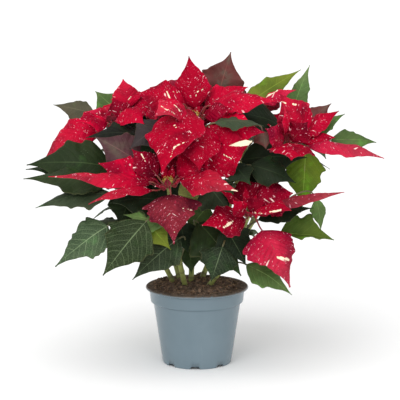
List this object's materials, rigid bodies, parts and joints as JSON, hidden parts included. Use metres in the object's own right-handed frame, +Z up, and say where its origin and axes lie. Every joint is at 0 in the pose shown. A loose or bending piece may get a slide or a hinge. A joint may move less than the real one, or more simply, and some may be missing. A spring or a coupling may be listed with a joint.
{
  "type": "poinsettia",
  "caption": "Potted poinsettia: leafy shoots, each topped by a head of pointed red flecked bracts round small yellow-green cyathia, in a plain tapered nursery pot that stands free.",
  "frame": {"origin": "centre of the flat pad in the middle of the pot's underside, on the surface that the pot stands on", "axes": "+Z up along the pot's axis, +X to the right of the plant's best side, which faces -Y"},
  "size_m": [0.4414, 0.325, 0.3874],
  "materials": {
    "pot_plastic": "smooth moulded blue-grey plastic, slightly glossy, with soil on the rim",
    "soil": "dark brown fibrous peat, rough and matt",
    "leaf_green": "dark green leaf with paler veins and a soft sheen",
    "bract_red": "crimson bract with fine pale flecks and quilted veins, velvety",
    "leaf_bronze": "purplish bronze leaf, soft sheen",
    "cyathium": "waxy yellow-green cup with red tips"
  },
  "bodies": {
    "root": {"bracts_front": "bract_red", "bracts_left": "bract_red", "bracts_low": "bract_red", "bracts_rear_left": "bract_red", "bracts_rear_right": "bract_red", "bracts_right": "bract_red", "bracts_top": "bract_red", "bronze_left_leaf_a": "leaf_bronze", "bronze_left_leaf_d": "leaf_bronze", "bronze_right_leaf_g4c": "leaf_bronze", "bronze_top_leaf_e": "leaf_bronze", "bronze_top_leaf_h": "leaf_bronze", "bronze_top_leaf_k": "leaf_bronze", "cyathia_front": "cyathium", "cyathia_left": "cyathium", "cyathia_low": "cyathium", "cyathia_rear_left": "cyathium", "cyathia_rear_right": "cyathium", "cyathia_right": "cyathium", "cyathia_top": "cyathium", "leafy_stem_front": "leaf_green", "leafy_stem_left": "leaf_green", "leafy_stem_low": "leaf_green", "leafy_stem_rear_left": "leaf_green", "leafy_stem_rear_right": "leaf_green", "leafy_stem_right": "leaf_green", "leafy_stem_top": "leaf_green", "pot": "pot_plastic", "soil": "soil"}
  },
  "joints": []
}
